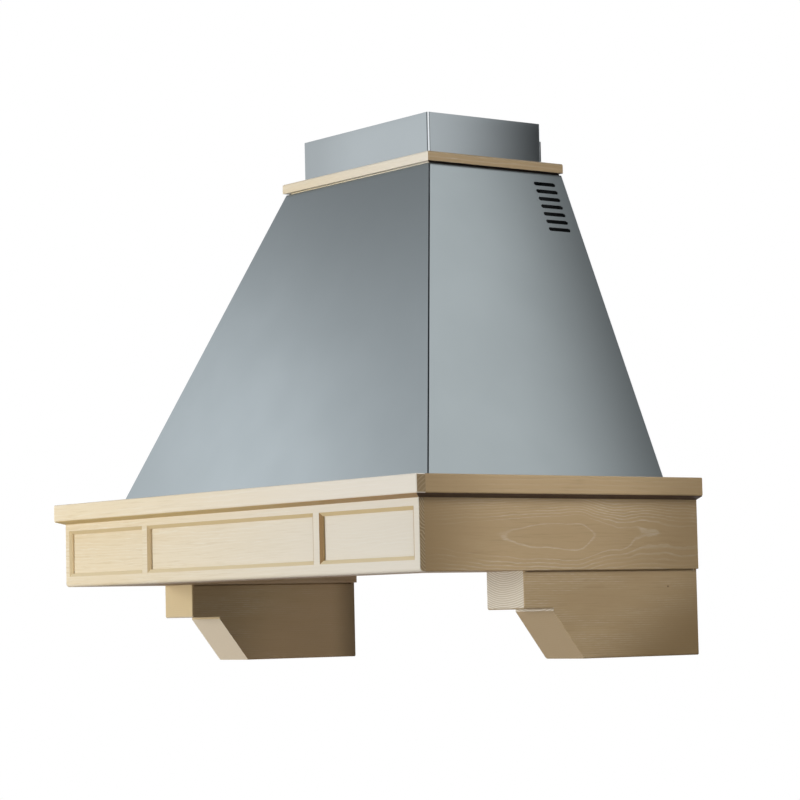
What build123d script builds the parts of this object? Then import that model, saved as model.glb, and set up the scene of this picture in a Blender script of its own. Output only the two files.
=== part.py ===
from build123d import *

import os
from math import acos, cos, degrees, hypot, radians, sin

os.makedirs("parts", exist_ok=True)

# Wall-hung kitchen hood cover.  X runs along the wall, +Y points into the wall and +Z up.
# The origin is midway between the two wall-screw holes of the back rail, on the wall's face.
# All lengths are in millimetres.

# ------------------------------------------------------------------ wooden base
fascia_width = 900.0  # over the outer faces of the side boards
fascia_depth = 487.0  # from the wall to the face of the front board
board_height = 101.0
board_thickness = 18.0
corner_lap = 9.0  # end grain of the front board that shows at the side
lower_edge_radius = 5.0  # rounded lower edge of the front board
arris_radius = 1.2  # eased edges of the boards
wall_screw_height = 60.0  # wall screws above the underside of the base
wall_screw_spacing = 600.0
wall_screw_hole = 8.0
back_rail_thickness = 18.0
bottom_rail_thickness = 18.0
side_rail_width = 74.0
front_rail_width = 60.0
corner_block_leg = 30.0

# three recessed panels in the front board
panel_end_border = 11.0
panel_edge_border = 15.5
panel_divider = 14.0
middle_panel_width = 426.0
panel_bevel_width = 5.0
panel_bevel_depth = 3.0
panel_depth = 5.5

# ------------------------------------------------------------------ cornice
nosing_height = 25.4
nosing_thickness = 15.0
nosing_overhang = 13.0
nosing_radius = 2.0
ledge_width = 80.0
cove_width = 12.0
cove_height = 5.0
cove_lip = 0.8

# ------------------------------------------------------------------ corbels
corbel_width = 80.0
corbel_inset = 4.5  # from the outer face of the side board
corbel_reach = 311.0  # from the wall to the front of the block
corbel_height = 119.0
corbel_block_height = 51.0
corbel_block_length = 50.0
corbel_step = 3.0  # small upright step above the slope
corbel_slope_run = 52.0
corbel_radius = 2.5
corbel_groove_height = 2.0  # shadow groove along the top of a corbel, under the base
corbel_groove_depth = 5.0
corbel_groove_stop = 4.0  # the groove ends short of both ends of the corbel

# ------------------------------------------------------------------ canopy
sheet = 1.0  # thickness of the folded steel
canopy_inset = 65.0  # foot of the canopy behind the fascia
canopy_height = 463.6
top_side_margin = 23.0  # top of the canopy beside the flue
top_front_margin = 18.0  # top of the canopy in front of the flue
foot_flange = 15.0
rear_flange = 20.0
hip_flange = 14.0
seam_gap = 1.6  # hairline between the front sheet and a side sheet
nesting_gap = 0.3  # between sheets that lie inside each other
slot_count = 7
slot_length = 41.0
slot_height = 6.4
slot_pitch = 13.0
slot_drop = 18.7  # first slot below the collar, along the slope
slot_wall_margin = 18.6  # from the wall to the end of a slot
bridge_thickness = 1.5
bridge_height = 100.0  # closes the canopy at the wall, behind the slots
bridge_side_gap = 3.0
bridge_hole = 6.0
bridge_hole_spacing = 240.0
bridge_hole_drop = 15.0

# ------------------------------------------------------------------ collar and flue
collar_height = 17.0
collar_overhang = 4.0
collar_radius = 3.5
collar_rebate_height = 2.5  # shadow gap between the collar and the canopy
collar_rebate_depth = 9.0
collar_clearance = 0.5
flue_width = 312.0
flue_depth = 211.0
flue_wall_gap = 19.0
flue_show = 62.0  # fixed flue above the collar
flue_bend_radius = 3.5
flue_slide_clearance = 0.5
flue_setback = 2.0  # upper flue below the rim of the lower one when pushed down
lower_flue_return = 25.0
upper_flue_return = 12.0
bracket_height = 30.0
bracket_rise = 6.0  # bracket above the collar
bracket_hole_spacing = 160.0

# ------------------------------------------------------------------ steel liner
liner_lap = 18.0  # liner on the bottom rails
liner_clearance = 0.5
liner_box_height = 60.0
liner_wall_margin = 14.0
control_zone = 64.5  # between the front rail and the box of the liner
filter_width = 300.0
filter_thickness = 9.0
filter_clearance = 1.0
filter_bar = 16.0  # liner between the two filters
filter_rear_lip = 30.0  # liner behind the filters
frame_member = 14.0
frame_front_member = 34.0
mesh_lip = 2.0
mesh_lip_thickness = 1.5
mesh_thickness = 6.0
mesh_clearance = 0.2

# filter latch
latch_pocket_length = 26.0
latch_pocket_width = 54.0
latch_pocket_depth = 7.0
latch_pocket_wall = 4.0
latch_travel = 6.0
latch_play = 0.25
latch_thickness = 5.6
latch_rib = 2.0
latch_rib_height = 2.0
tongue_width = 30.0
tongue_thickness = 2.0
tongue_overlap = 5.0
tongue_gap = 0.2
rear_tab_width = 20.0
rear_tab_spacing = 200.0
grip_width = 40.0
grip_length = 3.0

# controls and lamps
button_names = ("off", "low", "medium", "high", "light")
button_radius = 6.0
button_pitch = 26.0
button_edge_radius = 0.8
button_clearance = 0.2
button_rise = 3.5  # button below the liner
button_flange = 1.5
button_flange_thickness = 2.0
button_stem_radius = 3.0
button_stem_length = 11.0
button_travel = 2.5
control_trim_thickness = 1.5
switch_block_height = 26.0
switch_block_depth = 28.0
lamp_spacing = 500.0
lamp_radius = 30.0
lamp_wall = 3.0
lamp_height = 26.0
lamp_ring_thickness = 2.0
lamp_ring_land = 8.0
lens_thickness = 2.5
lens_clearance = 0.5

# ------------------------------------------------------------------ blower
scroll_start_radius = 85.0  # spiral at the tongue
scroll_end_radius = 125.0  # spiral at the outlet
scroll_width = 120.0
scroll_wall = 2.0
scroll_tongue_angle = 65.0
scroll_neck = 33.0
neck_flange_margin = 5.0  # flange of the neck round the outlet hole
scroll_floor_gap = 8.0
scroll_side_gap = 3.0
chamber_air_gap = 45.5
chamber_flange = 10.0
inlet_radius = 62.0
impeller_gap = 7.0
impeller_width = 100.0
blade_count = 32
blade_length = 10.0
blade_thickness = 1.2
blade_tilt = 35.0
impeller_ring_thickness = 2.0
hub_radius = 14.0
hub_length = 18.0
shaft_radius = 4.0
shaft_clearance = 0.05
motor_radius = 40.0
motor_length = 48.0
motor_edge_radius = 4.0
spider_arm_width = 10.0
spider_arm_thickness = 3.0
motor_web_gap = 6.0

# outlet spigot with non-return flaps
duct_radius = 75.0  # outside of the spigot, for a 150 mm duct
spigot_wall = 2.0
spigot_height = 45.0
spigot_flange = 13.0
spigot_flange_thickness = 1.5
flap_pin_height = 22.0
flap_pin_radius = 1.5
flap_bore_clearance = 0.05
flap_thickness = 1.2
flap_rim_clearance = 1.5
knuckle_radius = 3.0
knuckle_length = 30.0
knuckle_play = 0.5
flap_seat = 4.0
flap_seat_thickness = 1.5
flap_seat_gap = 0.3
gland_radius = 9.0
gland_height = 16.0
gland_bore = 4.5
gland_flue_gap = 28.0  # from the gland to the walls of the flue above it

# ------------------------------------------------------------------ screws
screw_hole_clearance = 0.1
short_screw_radius = 1.75
short_screw_length = 14.0
short_head_radius = 3.6
short_head_height = 2.4
long_screw_radius = 2.25
long_screw_length = 60.0
long_head_radius = 4.5
long_head_height = 3.0
recess_width = 1.0
recess_depth = 1.2
foot_screw_front_spacing = 240.0
foot_screw_side_spacing = 160.0
corbel_screw_spacing = 170.0
corbel_screw_from_wall = 60.0
liner_screw_from_wall = 60.0

# ------------------------------------------------------------------ levels and edges worked out
fascia_half = fascia_width / 2
base_z = -wall_screw_height
board_top_z = base_z + board_height
nosing_top_z = board_top_z + nosing_height
canopy_top_z = nosing_top_z + canopy_height
collar_top_z = canopy_top_z + collar_height
flue_top_z = collar_top_z + flue_show
rail_top_z = base_z + bottom_rail_thickness

inner_half = fascia_half - board_thickness  # inner face of a side board
front_inner = -fascia_depth + board_thickness  # inner face of the front board
opening_half = inner_half - side_rail_width  # opening between the bottom rails
opening_front = front_inner + front_rail_width

nosing_half = fascia_half + nosing_overhang
nosing_front_y = -fascia_depth - nosing_overhang
ledge_half = nosing_half - nosing_thickness
ledge_front_y = nosing_front_y + nosing_thickness

canopy_top_width = flue_width + 2 * top_side_margin
canopy_top_depth = flue_wall_gap + flue_depth + top_front_margin
foot_half = fascia_half - canopy_inset
foot_depth = fascia_depth - canopy_inset
top_half = canopy_top_width / 2
side_run = foot_half - top_half
front_run = foot_depth - canopy_top_depth
side_slant = hypot(side_run, canopy_height)
front_slant = hypot(front_run, canopy_height)

flue_y = -(flue_wall_gap + flue_depth / 2)
flue_half = flue_width / 2
flue_front_y = -(flue_wall_gap + flue_depth)
flue_inner_half = flue_half - sheet
flue_inner_front_y = flue_front_y + sheet


def block(x, y, z, mode=Mode.ADD):
    """A rectangular block over the ranges x, y and z, each given from low to high."""
    with Locations((x[0], y[0], z[0])):
        Box(x[1] - x[0], y[1] - y[0], z[1] - z[0], align=Align.MIN, mode=mode)


def post(x, y, z, radius, mode=Mode.ADD):
    """An upright cylinder at x and y over the range z."""
    with Locations((x, y, z[0])):
        Cylinder(radius, z[1] - z[0], align=(Align.CENTER, Align.CENTER, Align.MIN), mode=mode)


def save(piece, name):
    """Label a finished piece and write it."""
    piece.part.label = name
    export_step(piece.part, f"parts/{name}.step")


def save_pair(right, name):
    """Write the right-hand piece and its mirror image on the left."""
    save(right, f"{name}_right")
    with BuildPart() as left:
        mirror(right.part, about=Plane.YZ)
    save(left, f"{name}_left")


# ------------------------------------------------------------------ screw places
foot_screw_inset = foot_flange / 2 + sheet
front_foot_screws = [
    (x, -foot_depth + foot_screw_inset)
    for x in (-foot_screw_front_spacing, 0.0, foot_screw_front_spacing)
]
side_foot_screws = [
    (foot_half - foot_screw_inset, -foot_depth / 2 + offset)
    for offset in (-foot_screw_side_spacing / 2, foot_screw_side_spacing / 2)
]
liner_screws = [
    (opening_half + liner_lap / 2, -liner_screw_from_wall),
    (opening_half + liner_lap / 2, opening_front - liner_lap / 2),
]
corbel_centre_x = fascia_half - corbel_inset - corbel_width / 2
corbel_screws_right = [
    (corbel_centre_x, -corbel_screw_from_wall),
    (corbel_centre_x, -corbel_screw_from_wall - corbel_screw_spacing),
]


def drill(places, z, radius):
    """Upright holes at the given places over the range z, in the current part."""
    for x, y in places:
        post(x, y, z, radius + screw_hole_clearance, mode=Mode.SUBTRACT)


def screw(x, y, seat_z, radius, length, head_radius, head_height):
    """A pan-head screw pointing down, with its head on seat_z and a cross recess."""
    head_top_z = seat_z + head_height
    post(x, y, (seat_z - length, seat_z), radius)
    post(x, y, (seat_z, head_top_z), head_radius)
    with Locations((x, y, head_top_z)):
        Box(head_radius, recess_width, 2 * recess_depth, mode=Mode.SUBTRACT)
        Box(recess_width, head_radius, 2 * recess_depth, mode=Mode.SUBTRACT)


# ------------------------------------------------------------------ wooden base
front_face = Plane(origin=(0, -fascia_depth, 0), x_dir=(1, 0, 0), z_dir=(0, -1, 0))
side_panel_width = (fascia_width - middle_panel_width) / 2 - panel_end_border - panel_divider
side_panel_x = middle_panel_width / 2 + panel_divider + side_panel_width / 2
panel_height = board_height - 2 * panel_edge_border
panel_z = base_z + board_height / 2


def panel_recess(x, width):
    """One recessed panel: a bevel all round, then a small upright step down to the field."""
    field_width = width - 2 * panel_bevel_width
    field_height = panel_height - 2 * panel_bevel_width
    with BuildSketch(front_face) as rim:
        with Locations((x, panel_z)):
            Rectangle(width, panel_height)
    with BuildSketch(front_face.offset(-panel_bevel_depth)) as field:
        with Locations((x, panel_z)):
            Rectangle(field_width, field_height)
    with BuildSketch(front_face.offset(-panel_depth)) as floor:
        with Locations((x, panel_z)):
            Rectangle(field_width, field_height)
    loft([rim.sketch, field.sketch], mode=Mode.SUBTRACT)
    extrude(floor.sketch, amount=panel_depth, mode=Mode.SUBTRACT)


with BuildPart() as front_board:
    block(
        (-fascia_half, fascia_half),
        (-fascia_depth, front_inner),
        (base_z, board_top_z),
    )
    lower_edge = front_board.edges().filter_by(Axis.X).group_by(Axis.Z)[0].sort_by(Axis.Y)[0]
    fillet(lower_edge, radius=lower_edge_radius)
    end_arrises = front_board.edges().filter_by(Axis.Z).group_by(Axis.Y)[0]
    fillet(end_arrises, radius=arris_radius)
    for low, high in ((inner_half, fascia_half), (-fascia_half, -inner_half)):
        block(
            (low, high),
            (-fascia_depth + corner_lap, front_inner),
            (base_z, board_top_z),
            mode=Mode.SUBTRACT,
        )
    panel_recess(-side_panel_x, side_panel_width)
    panel_recess(0, middle_panel_width)
    panel_recess(side_panel_x, side_panel_width)
save(front_board, "front_board")

with BuildPart() as side_board:
    block((inner_half, fascia_half), (-fascia_depth + corner_lap, 0), (base_z, board_top_z))
    lower_edge = side_board.edges().filter_by(Axis.Y).group_by(Axis.Z)[0].sort_by(Axis.X)[-1]
    fillet(lower_edge, radius=arris_radius)
save_pair(side_board, "side_board")

with BuildPart() as back_rail:
    block((-inner_half, inner_half), (-back_rail_thickness, 0), (rail_top_z, board_top_z))
    with BuildSketch(Plane.XZ):
        with GridLocations(wall_screw_spacing, 0, 2, 1):
            Circle(wall_screw_hole / 2)
    extrude(amount=back_rail_thickness, mode=Mode.SUBTRACT)
save(back_rail, "back_rail")

with BuildPart() as bottom_rail:
    block((opening_half, inner_half), (front_inner, 0), (base_z, rail_top_z))
    drill(corbel_screws_right, (base_z, rail_top_z), long_screw_radius)
    drill(liner_screws, (base_z, rail_top_z), short_screw_radius)
save_pair(bottom_rail, "bottom_rail")

with BuildPart() as bottom_rail_front:
    block((-opening_half, opening_half), (front_inner, opening_front), (base_z, rail_top_z))
save(bottom_rail_front, "bottom_rail_front")

with BuildPart() as corner_blocks:
    with BuildSketch(Plane.XY.offset(rail_top_z)):
        with BuildLine():
            Polyline(
                (inner_half, front_inner),
                (inner_half - corner_block_leg, front_inner),
                (inner_half, front_inner + corner_block_leg),
                close=True,
            )
        make_face()
        mirror(about=Plane.YZ)
    extrude(amount=board_top_z - rail_top_z)
save(corner_blocks, "corner_blocks")

# ------------------------------------------------------------------ cornice
screw_depth = (nosing_top_z - short_screw_length, nosing_top_z)

with BuildPart() as ledge_front:
    block(
        (-ledge_half, ledge_half),
        (ledge_front_y, ledge_front_y + ledge_width),
        (board_top_z, nosing_top_z),
    )
    drill(front_foot_screws, screw_depth, short_screw_radius)
save(ledge_front, "ledge_front")

with BuildPart() as ledge_side:
    block(
        (ledge_half - ledge_width, ledge_half),
        (ledge_front_y + ledge_width, 0),
        (board_top_z, nosing_top_z),
    )
    drill(side_foot_screws, screw_depth, short_screw_radius)
save_pair(ledge_side, "ledge")

with BuildPart() as nosing_front:
    block(
        (-nosing_half, nosing_half),
        (nosing_front_y, ledge_front_y),
        (board_top_z, nosing_top_z),
    )
    front_edges = nosing_front.faces().sort_by(Axis.Y)[0].edges()
    end_edges = nosing_front.edges().filter_by(Axis.Y)
    fillet(front_edges + end_edges, radius=nosing_radius)
save(nosing_front, "nosing_front")

with BuildPart() as nosing_side:
    block((ledge_half, nosing_half), (ledge_front_y, 0), (board_top_z, nosing_top_z))
    outer_edges = nosing_side.edges().filter_by(Axis.Y).group_by(Axis.X)[-1]
    fillet(outer_edges, radius=nosing_radius)
save_pair(nosing_side, "nosing")

cove_corner = (fascia_half, -fascia_depth, 0)
cove_mitre_right = Plane(origin=cove_corner, z_dir=(1, 1, 0))
cove_mitre_left = Plane(origin=(-fascia_half, -fascia_depth, 0), z_dir=(-1, 1, 0))
cove_bottom_z = board_top_z - cove_height

with BuildPart() as cove_front:
    with BuildSketch(Plane.YZ):
        with BuildLine():
            Polyline(
                (-fascia_depth, board_top_z),
                (-fascia_depth - cove_width, board_top_z),
                (-fascia_depth - cove_width, board_top_z - cove_lip),
                (-fascia_depth, cove_bottom_z),
                close=True,
            )
        make_face()
    extrude(amount=fascia_half + cove_width, both=True)
    split(bisect_by=cove_mitre_right, keep=Keep.BOTTOM)
    split(bisect_by=cove_mitre_left, keep=Keep.BOTTOM)
save(cove_front, "cove_front")

with BuildPart() as cove_side:
    with BuildSketch(Plane.XZ):
        with BuildLine():
            Polyline(
                (fascia_half, board_top_z),
                (fascia_half + cove_width, board_top_z),
                (fascia_half + cove_width, board_top_z - cove_lip),
                (fascia_half, cove_bottom_z),
                close=True,
            )
        make_face()
    extrude(amount=fascia_depth + cove_width)
    split(bisect_by=cove_mitre_right, keep=Keep.TOP)
save_pair(cove_side, "cove")

# ------------------------------------------------------------------ corbels
corbel_block_z = base_z - corbel_block_height
corbel_bottom_z = base_z - corbel_height
corbel_notch_y = -corbel_reach + corbel_block_length

with BuildPart() as corbel:
    with BuildSketch(Plane.YZ.offset(corbel_centre_x)):
        with BuildLine():
            Polyline(
                (0, base_z),
                (-corbel_reach, base_z),
                (-corbel_reach, corbel_block_z),
                (corbel_notch_y, corbel_block_z),
                (corbel_notch_y, corbel_block_z - corbel_step),
                (corbel_notch_y + corbel_slope_run, corbel_bottom_z),
                (0, corbel_bottom_z),
                close=True,
            )
        make_face()
    extrude(amount=corbel_width / 2, both=True)
    long_edges = corbel.edges().filter_by(Axis.Y)
    lower_edges = long_edges.group_by(Axis.Z)[0] + long_edges.group_by(Axis.Z)[1]
    front_edges = corbel.faces().sort_by(Axis.Y)[0].edges().sort_by(Axis.Z)[:-1]
    fillet(lower_edges + front_edges, radius=corbel_radius)
    for edge_x in (-corbel_width / 2, corbel_width / 2 - corbel_groove_depth):
        groove_x = corbel_centre_x + edge_x
        block(
            (groove_x, groove_x + corbel_groove_depth),
            (-corbel_reach + corbel_groove_stop, -corbel_groove_stop),
            (base_z - corbel_groove_height, base_z),
            mode=Mode.SUBTRACT,
        )
    drill(corbel_screws_right, (rail_top_z - long_screw_length, base_z), long_screw_radius)
save_pair(corbel, "corbel")

# ------------------------------------------------------------------ canopy
side_plane = Plane(
    origin=(foot_half, 0, nosing_top_z),
    x_dir=(0, 1, 0),
    z_dir=(canopy_height, 0, side_run),
)
front_plane = Plane(
    origin=(0, -foot_depth, nosing_top_z),
    x_dir=(1, 0, 0),
    z_dir=(0, -canopy_height, front_run),
)
foot_level = Plane.XY.offset(nosing_top_z)
bridge_z = canopy_top_z - bridge_height

with BuildPart() as canopy_front:
    with BuildSketch(front_plane):
        with BuildLine():
            Polyline(
                (-foot_half, 0),
                (foot_half, 0),
                (top_half, front_slant),
                (-top_half, front_slant),
                close=True,
            )
        make_face()
    extrude(amount=-sheet)
    with BuildSketch(side_plane.offset(-sheet - nesting_gap)):
        with BuildLine():
            Polyline(
                (-foot_depth + sheet / 2, 0),
                (-foot_depth + hip_flange, 0),
                (-canopy_top_depth + hip_flange, side_slant - hip_flange),
                (-canopy_top_depth + sheet / 2, side_slant - hip_flange),
                close=True,
            )
        make_face()
    hip = extrude(amount=-sheet)
    mirror(hip, about=Plane.YZ)
    block(
        (-foot_half + foot_flange, foot_half - foot_flange),
        (-foot_depth + sheet / 2, -foot_depth + foot_flange),
        (nosing_top_z, nosing_top_z + sheet),
    )
    block(
        (-flue_inner_half, flue_inner_half),
        (-canopy_top_depth + sheet / 2, flue_inner_front_y),
        (canopy_top_z - sheet, canopy_top_z),
    )
    split(bisect_by=foot_level, keep=Keep.TOP)
    drill(front_foot_screws, (nosing_top_z, nosing_top_z + sheet), short_screw_radius)
save(canopy_front, "canopy_front")

side_front_gap = sheet + seam_gap
slot_y = -(slot_wall_margin + slot_length / 2)

with BuildPart() as canopy_side:
    with BuildSketch(side_plane):
        with BuildLine():
            Polyline(
                (0, 0),
                (-foot_depth + side_front_gap, 0),
                (-canopy_top_depth + side_front_gap, side_slant),
                (0, side_slant),
                close=True,
            )
        make_face()
        for i in range(slot_count):
            with Locations((slot_y, side_slant - slot_drop - i * slot_pitch)):
                SlotOverall(slot_length, slot_height, mode=Mode.SUBTRACT)
    extrude(amount=-sheet)
    with BuildSketch(Plane.XZ):
        with BuildLine():
            Polyline(
                (foot_half - sheet / 2, nosing_top_z),
                (top_half - sheet / 2, canopy_top_z),
                (top_half - rear_flange, canopy_top_z),
                (foot_half - rear_flange, nosing_top_z),
                close=True,
            )
        make_face()
    extrude(amount=sheet)
    block(
        (foot_half - foot_flange, foot_half - sheet / 2),
        (-foot_depth + foot_flange + seam_gap, 0),
        (nosing_top_z, nosing_top_z + sheet),
    )
    block(
        (flue_inner_half, top_half - sheet / 2),
        (-canopy_top_depth + side_front_gap, 0),
        (canopy_top_z - sheet, canopy_top_z),
    )
    split(bisect_by=foot_level, keep=Keep.TOP)
    drill(side_foot_screws, (nosing_top_z, nosing_top_z + sheet), short_screw_radius)
save_pair(canopy_side, "canopy")

bridge_back_y = -sheet
bridge_front_y = bridge_back_y - bridge_thickness
bridge_half = flue_inner_half - nesting_gap
bridge_top_z = canopy_top_z - sheet
bridge_top_half = top_half - bridge_side_gap
bridge_foot_half = bridge_top_half + bridge_height * side_run / canopy_height
bridge_hole_z = canopy_top_z - bridge_hole_drop

with BuildPart() as canopy_rear_bridge:
    with BuildSketch(Plane.XZ.offset(-bridge_back_y)):
        with BuildLine():
            Polyline(
                (-bridge_top_half, bridge_top_z),
                (bridge_top_half, bridge_top_z),
                (bridge_foot_half, bridge_z),
                (-bridge_foot_half, bridge_z),
                close=True,
            )
        make_face()
    extrude(amount=bridge_thickness)
    block(
        (-bridge_half, bridge_half),
        (-flue_wall_gap - sheet, bridge_back_y),
        (canopy_top_z - bridge_thickness, canopy_top_z),
    )
    with BuildSketch(Plane.XZ.offset(-bridge_back_y)):
        with Locations((0, bridge_hole_z)):
            with GridLocations(bridge_hole_spacing, 0, 2, 1):
                Circle(bridge_hole / 2)
    extrude(amount=bridge_thickness, mode=Mode.SUBTRACT)
save(canopy_rear_bridge, "canopy_rear_bridge")

# ------------------------------------------------------------------ collar
collar_half = top_half + collar_overhang
collar_front_y = -canopy_top_depth - collar_overhang
collar_hole_half = flue_half + collar_clearance
collar_hole_front_y = flue_front_y - collar_clearance
collar_hole_rear_y = -flue_wall_gap + collar_clearance
collar_level = Plane.XY.offset(canopy_top_z)


def collar_rebate():
    """Cut the shadow gap under the outer edges of the collar, in the current part."""
    step_z = (canopy_top_z, canopy_top_z + collar_rebate_height)
    step_front = (collar_front_y, collar_front_y + collar_rebate_depth)
    block((-collar_half, collar_half), step_front, step_z, mode=Mode.SUBTRACT)
    for low in (-collar_half, collar_half - collar_rebate_depth):
        step_side = (low, low + collar_rebate_depth)
        block(step_side, (collar_front_y, 0), step_z, mode=Mode.SUBTRACT)


with BuildPart() as collar_front:
    with BuildSketch(collar_level):
        with BuildLine():
            Polyline(
                (-collar_half, collar_front_y),
                (collar_half, collar_front_y),
                (collar_hole_half, collar_hole_front_y),
                (-collar_hole_half, collar_hole_front_y),
                close=True,
            )
        make_face()
    extrude(amount=collar_height)
    fillet(collar_front.edges().filter_by(Axis.X).group_by(Axis.Y)[0], radius=collar_radius)
    collar_rebate()
save(collar_front, "collar_front")

with BuildPart() as collar_side:
    with BuildSketch(collar_level):
        with BuildLine():
            Polyline(
                (collar_half, 0),
                (collar_half, collar_front_y),
                (collar_hole_half, collar_hole_front_y),
                (collar_hole_half, 0),
                close=True,
            )
        make_face()
    extrude(amount=collar_height)
    fillet(collar_side.edges().filter_by(Axis.Y).group_by(Axis.X)[-1], radius=collar_radius)
    collar_rebate()
save_pair(collar_side, "collar")

with BuildPart() as collar_rear:
    block(
        (-collar_hole_half, collar_hole_half),
        (collar_hole_rear_y, 0),
        (canopy_top_z, collar_top_z),
    )
save(collar_rear, "collar_rear")

# ------------------------------------------------------------------ blower: spiral and levels
liner_bottom_z = rail_top_z
liner_plate_z = liner_bottom_z + sheet
liner_top_z = liner_plate_z + liner_box_height


to_left = 180.0  # directions round the fan's axis, in degrees from +X
to_floor = 270.0
to_outlet = 360.0


def spiral_radius(angle):
    """Radius of the scroll in a direction, growing evenly from the tongue to the outlet."""
    turned = (angle - scroll_tongue_angle) / (to_outlet - scroll_tongue_angle)
    return scroll_start_radius + (scroll_end_radius - scroll_start_radius) * turned


tongue_reach = scroll_start_radius * cos(radians(scroll_tongue_angle))
fan_x = -(scroll_end_radius + tongue_reach) / 2  # centres the outlet under the flue
fan_z = liner_top_z + scroll_floor_gap + spiral_radius(to_floor)
chamber_half = spiral_radius(to_left) - fan_x + scroll_side_gap
chamber_front_y = flue_y - scroll_width / 2 - chamber_air_gap
chamber_rear_y = flue_y + scroll_width / 2 + chamber_air_gap
chamber_top_z = fan_z + scroll_start_radius + scroll_neck
chamber_roof_z = chamber_top_z - sheet

# ------------------------------------------------------------------ flue
upper_flue_top_z = flue_top_z - flue_setback
upper_flue_bottom_z = chamber_top_z + upper_flue_return
upper_flue_width = flue_width - 2 * (sheet + flue_slide_clearance)
upper_flue_depth = flue_depth - 2 * (sheet + flue_slide_clearance)


def flue_profile(width, depth, radius, rear_return):
    """A bent sheet box round the flue's axis, open at the back between two returns."""
    with Locations((0, flue_y)):
        RectangleRounded(width, depth, radius)
        RectangleRounded(width - 2 * sheet, depth - 2 * sheet, radius - sheet, mode=Mode.SUBTRACT)
    with Locations((0, flue_y + depth / 2)):
        Rectangle(width - 2 * rear_return, 3 * sheet, mode=Mode.SUBTRACT)


with BuildPart() as flue_lower:
    with BuildSketch(collar_level):
        flue_profile(flue_width, flue_depth, flue_bend_radius, lower_flue_return)
    extrude(amount=flue_top_z - canopy_top_z)
save(flue_lower, "flue_lower")

with BuildPart() as flue_upper:
    with BuildSketch(Plane.XY.offset(upper_flue_bottom_z)):
        flue_profile(
            upper_flue_width,
            upper_flue_depth,
            flue_bend_radius - sheet - flue_slide_clearance,
            upper_flue_return,
        )
    extrude(amount=upper_flue_top_z - upper_flue_bottom_z)
save(flue_upper, "flue_upper")

bracket_inner_half = flue_half - lower_flue_return
bracket_web_half = bracket_inner_half - bridge_thickness
bracket_z = collar_top_z + bracket_rise

with BuildPart() as flue_bracket:
    with BuildSketch(Plane.XY.offset(bracket_z)):
        with Locations((0, -bridge_thickness / 2)):
            Rectangle(2 * bracket_inner_half, bridge_thickness)
        for side in (-1, 1):
            with Locations((side * (bracket_web_half + bridge_thickness / 2), -flue_wall_gap / 2)):
                Rectangle(bridge_thickness, flue_wall_gap)
            ear_y = -flue_wall_gap + bridge_thickness / 2
            with Locations((side * (bracket_web_half + lower_flue_return / 2), ear_y)):
                Rectangle(lower_flue_return, bridge_thickness)
    extrude(amount=bracket_height)
    with BuildSketch(Plane.XZ):
        with Locations((0, bracket_z + bracket_height / 2)):
            with GridLocations(bracket_hole_spacing, 0, 2, 1):
                Circle(bridge_hole / 2)
    extrude(amount=bridge_thickness, mode=Mode.SUBTRACT)
save(flue_bracket, "flue_bracket")

# ------------------------------------------------------------------ liner, controls and lamps: places
aperture_width = filter_width + 2 * filter_clearance
aperture_inner_x = filter_bar / 2
aperture_rear_y = -(back_rail_thickness + liner_clearance + filter_rear_lip)
aperture_front_y = opening_front + control_zone + liner_wall_margin
liner_half = opening_half + liner_lap
liner_rear_y = -(back_rail_thickness + liner_clearance)
liner_box_half = aperture_inner_x + aperture_width + liner_wall_margin
liner_box_front_y = aperture_front_y - liner_wall_margin
liner_box_rear_y = liner_rear_y - liner_clearance - sheet
control_y = opening_front + control_zone / 2
button_places = [(i - (len(button_names) - 1) / 2) * button_pitch for i in range(len(button_names))]
control_width = (len(button_names) + 0.8) * button_pitch
lamp_places = [(-lamp_spacing / 2, control_y), (lamp_spacing / 2, control_y)]
lens_radius = lamp_radius - lamp_wall - lens_clearance
chamber_mouth_margin = 35.0

with BuildPart() as liner_pan:
    block(
        (-liner_half, liner_half),
        (opening_front - liner_lap, liner_rear_y),
        (liner_bottom_z, liner_plate_z),
    )
    block(
        (-liner_box_half, liner_box_half),
        (liner_box_front_y, liner_box_rear_y),
        (liner_plate_z, liner_top_z),
    )
    block(
        (-liner_box_half + sheet, liner_box_half - sheet),
        (liner_box_front_y + sheet, liner_box_rear_y - sheet),
        (liner_plate_z, liner_top_z - sheet),
        mode=Mode.SUBTRACT,
    )
    block(
        (-chamber_half + chamber_mouth_margin, chamber_half - chamber_mouth_margin),
        (chamber_front_y + chamber_mouth_margin, chamber_rear_y - chamber_mouth_margin),
        (liner_top_z - sheet, liner_top_z),
        mode=Mode.SUBTRACT,
    )
    for low in (aperture_inner_x, -aperture_inner_x - aperture_width):
        block(
            (low, low + aperture_width),
            (aperture_front_y, aperture_rear_y),
            (liner_bottom_z, liner_plate_z),
            mode=Mode.SUBTRACT,
        )
    for x in button_places:
        post(
            x,
            control_y,
            (liner_bottom_z, liner_plate_z),
            button_radius + button_clearance,
            mode=Mode.SUBTRACT,
        )
    for x, y in lamp_places:
        post(x, y, (liner_bottom_z, liner_plate_z), lamp_radius - lamp_wall, mode=Mode.SUBTRACT)
    drill(liner_screws, (liner_bottom_z, liner_plate_z), short_screw_radius)
    drill([(-x, y) for x, y in liner_screws], (liner_bottom_z, liner_plate_z), short_screw_radius)
save(liner_pan, "liner_pan")

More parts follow.
